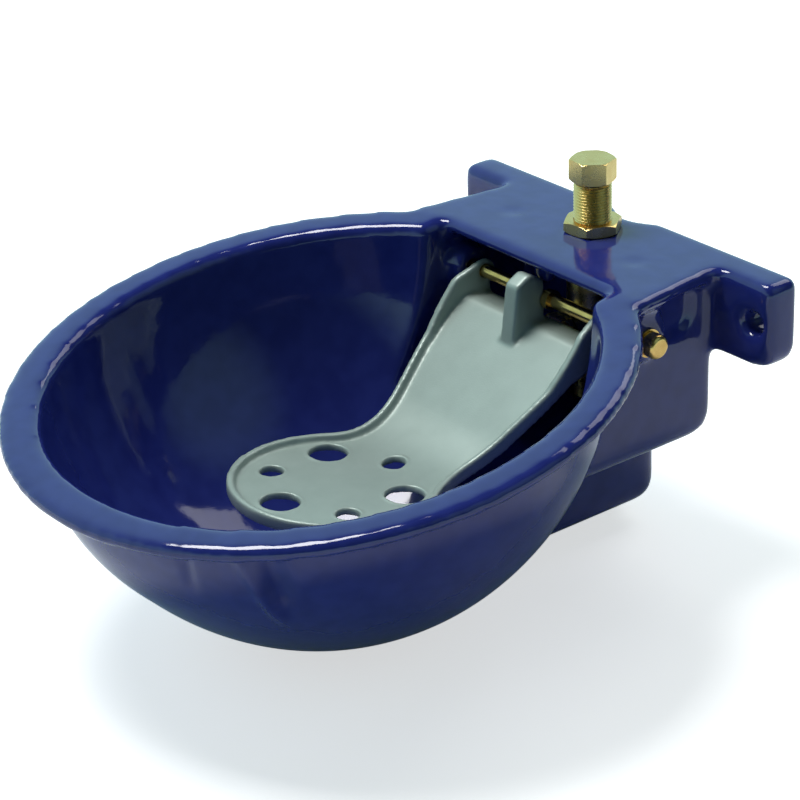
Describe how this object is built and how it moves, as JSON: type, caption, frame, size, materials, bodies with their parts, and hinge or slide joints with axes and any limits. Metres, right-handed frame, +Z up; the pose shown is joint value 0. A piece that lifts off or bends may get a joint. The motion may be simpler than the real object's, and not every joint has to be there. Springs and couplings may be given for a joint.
{
  "type": "livestock drinking bowl",
  "caption": "Wall-mounted enamelled cast-iron drinking bowl with a hinged tongue that opens a brass water valve under its cover.",
  "frame": {"origin": "middle of the line between the two wall bolts, on the back face of the flange", "axes": "+Y points into the wall, +Z up, +X to the right of a person who faces the wall; the bowl stands out towards -Y"},
  "size_m": [0.265, 0.3076, 0.1659],
  "materials": {
    "blue_enamel": "glossy dark blue porcelain enamel on cast iron",
    "grey_casting": "light grey galvanised casting",
    "brass": "turned and milled brass",
    "rubber": "black moulded rubber",
    "steel": "bright stainless steel"
  },
  "bodies": {
    "bowl": {"bowl_casting": "blue_enamel", "supply_skirt": "blue_enamel", "hinge_pin": "brass", "pin_collars": "brass", "pin_head_washer": "brass", "pin_nut_washer": "brass", "pin_nut": "brass", "valve_tee": "brass", "upper_nipple": "brass", "cover_lock_nut": "brass", "cover_seal_ring": "rubber", "hex_plug": "brass", "plug_gasket": "rubber", "inlet_nipple": "brass", "floor_lock_nut": "brass", "floor_seal_ring": "rubber", "inlet_strainer": "steel", "valve_seat": "brass", "seat_gasket": "rubber", "valve_spring": "steel"},
    "tongue": {"tongue": "grey_casting"},
    "stem": {"valve_stem": "steel", "seal_disc": "rubber", "disc_washer": "steel", "stem_nut": "steel"}
  },
  "joints": [
    {"name": "tongue_hinge", "type": "hinge", "parent": "bowl", "child": "tongue", "pos_m": [0, -0.056, -0.003], "axis": [1, 0, 0], "range_deg": [0, 9], "stiffness_Nm_per_rad": 1.2, "springref_deg": -28.65},
    {"name": "stem_slide", "type": "slide", "parent": "bowl", "child": "stem", "axis": [0, 1, 0], "range_m": [0, 0.0039], "deforming": ["valve_spring"]}
  ],
  "couplings": [
    {"joint": "stem_slide", "follows": "tongue_hinge", "m_per_rad": 0.0245}
  ]
}
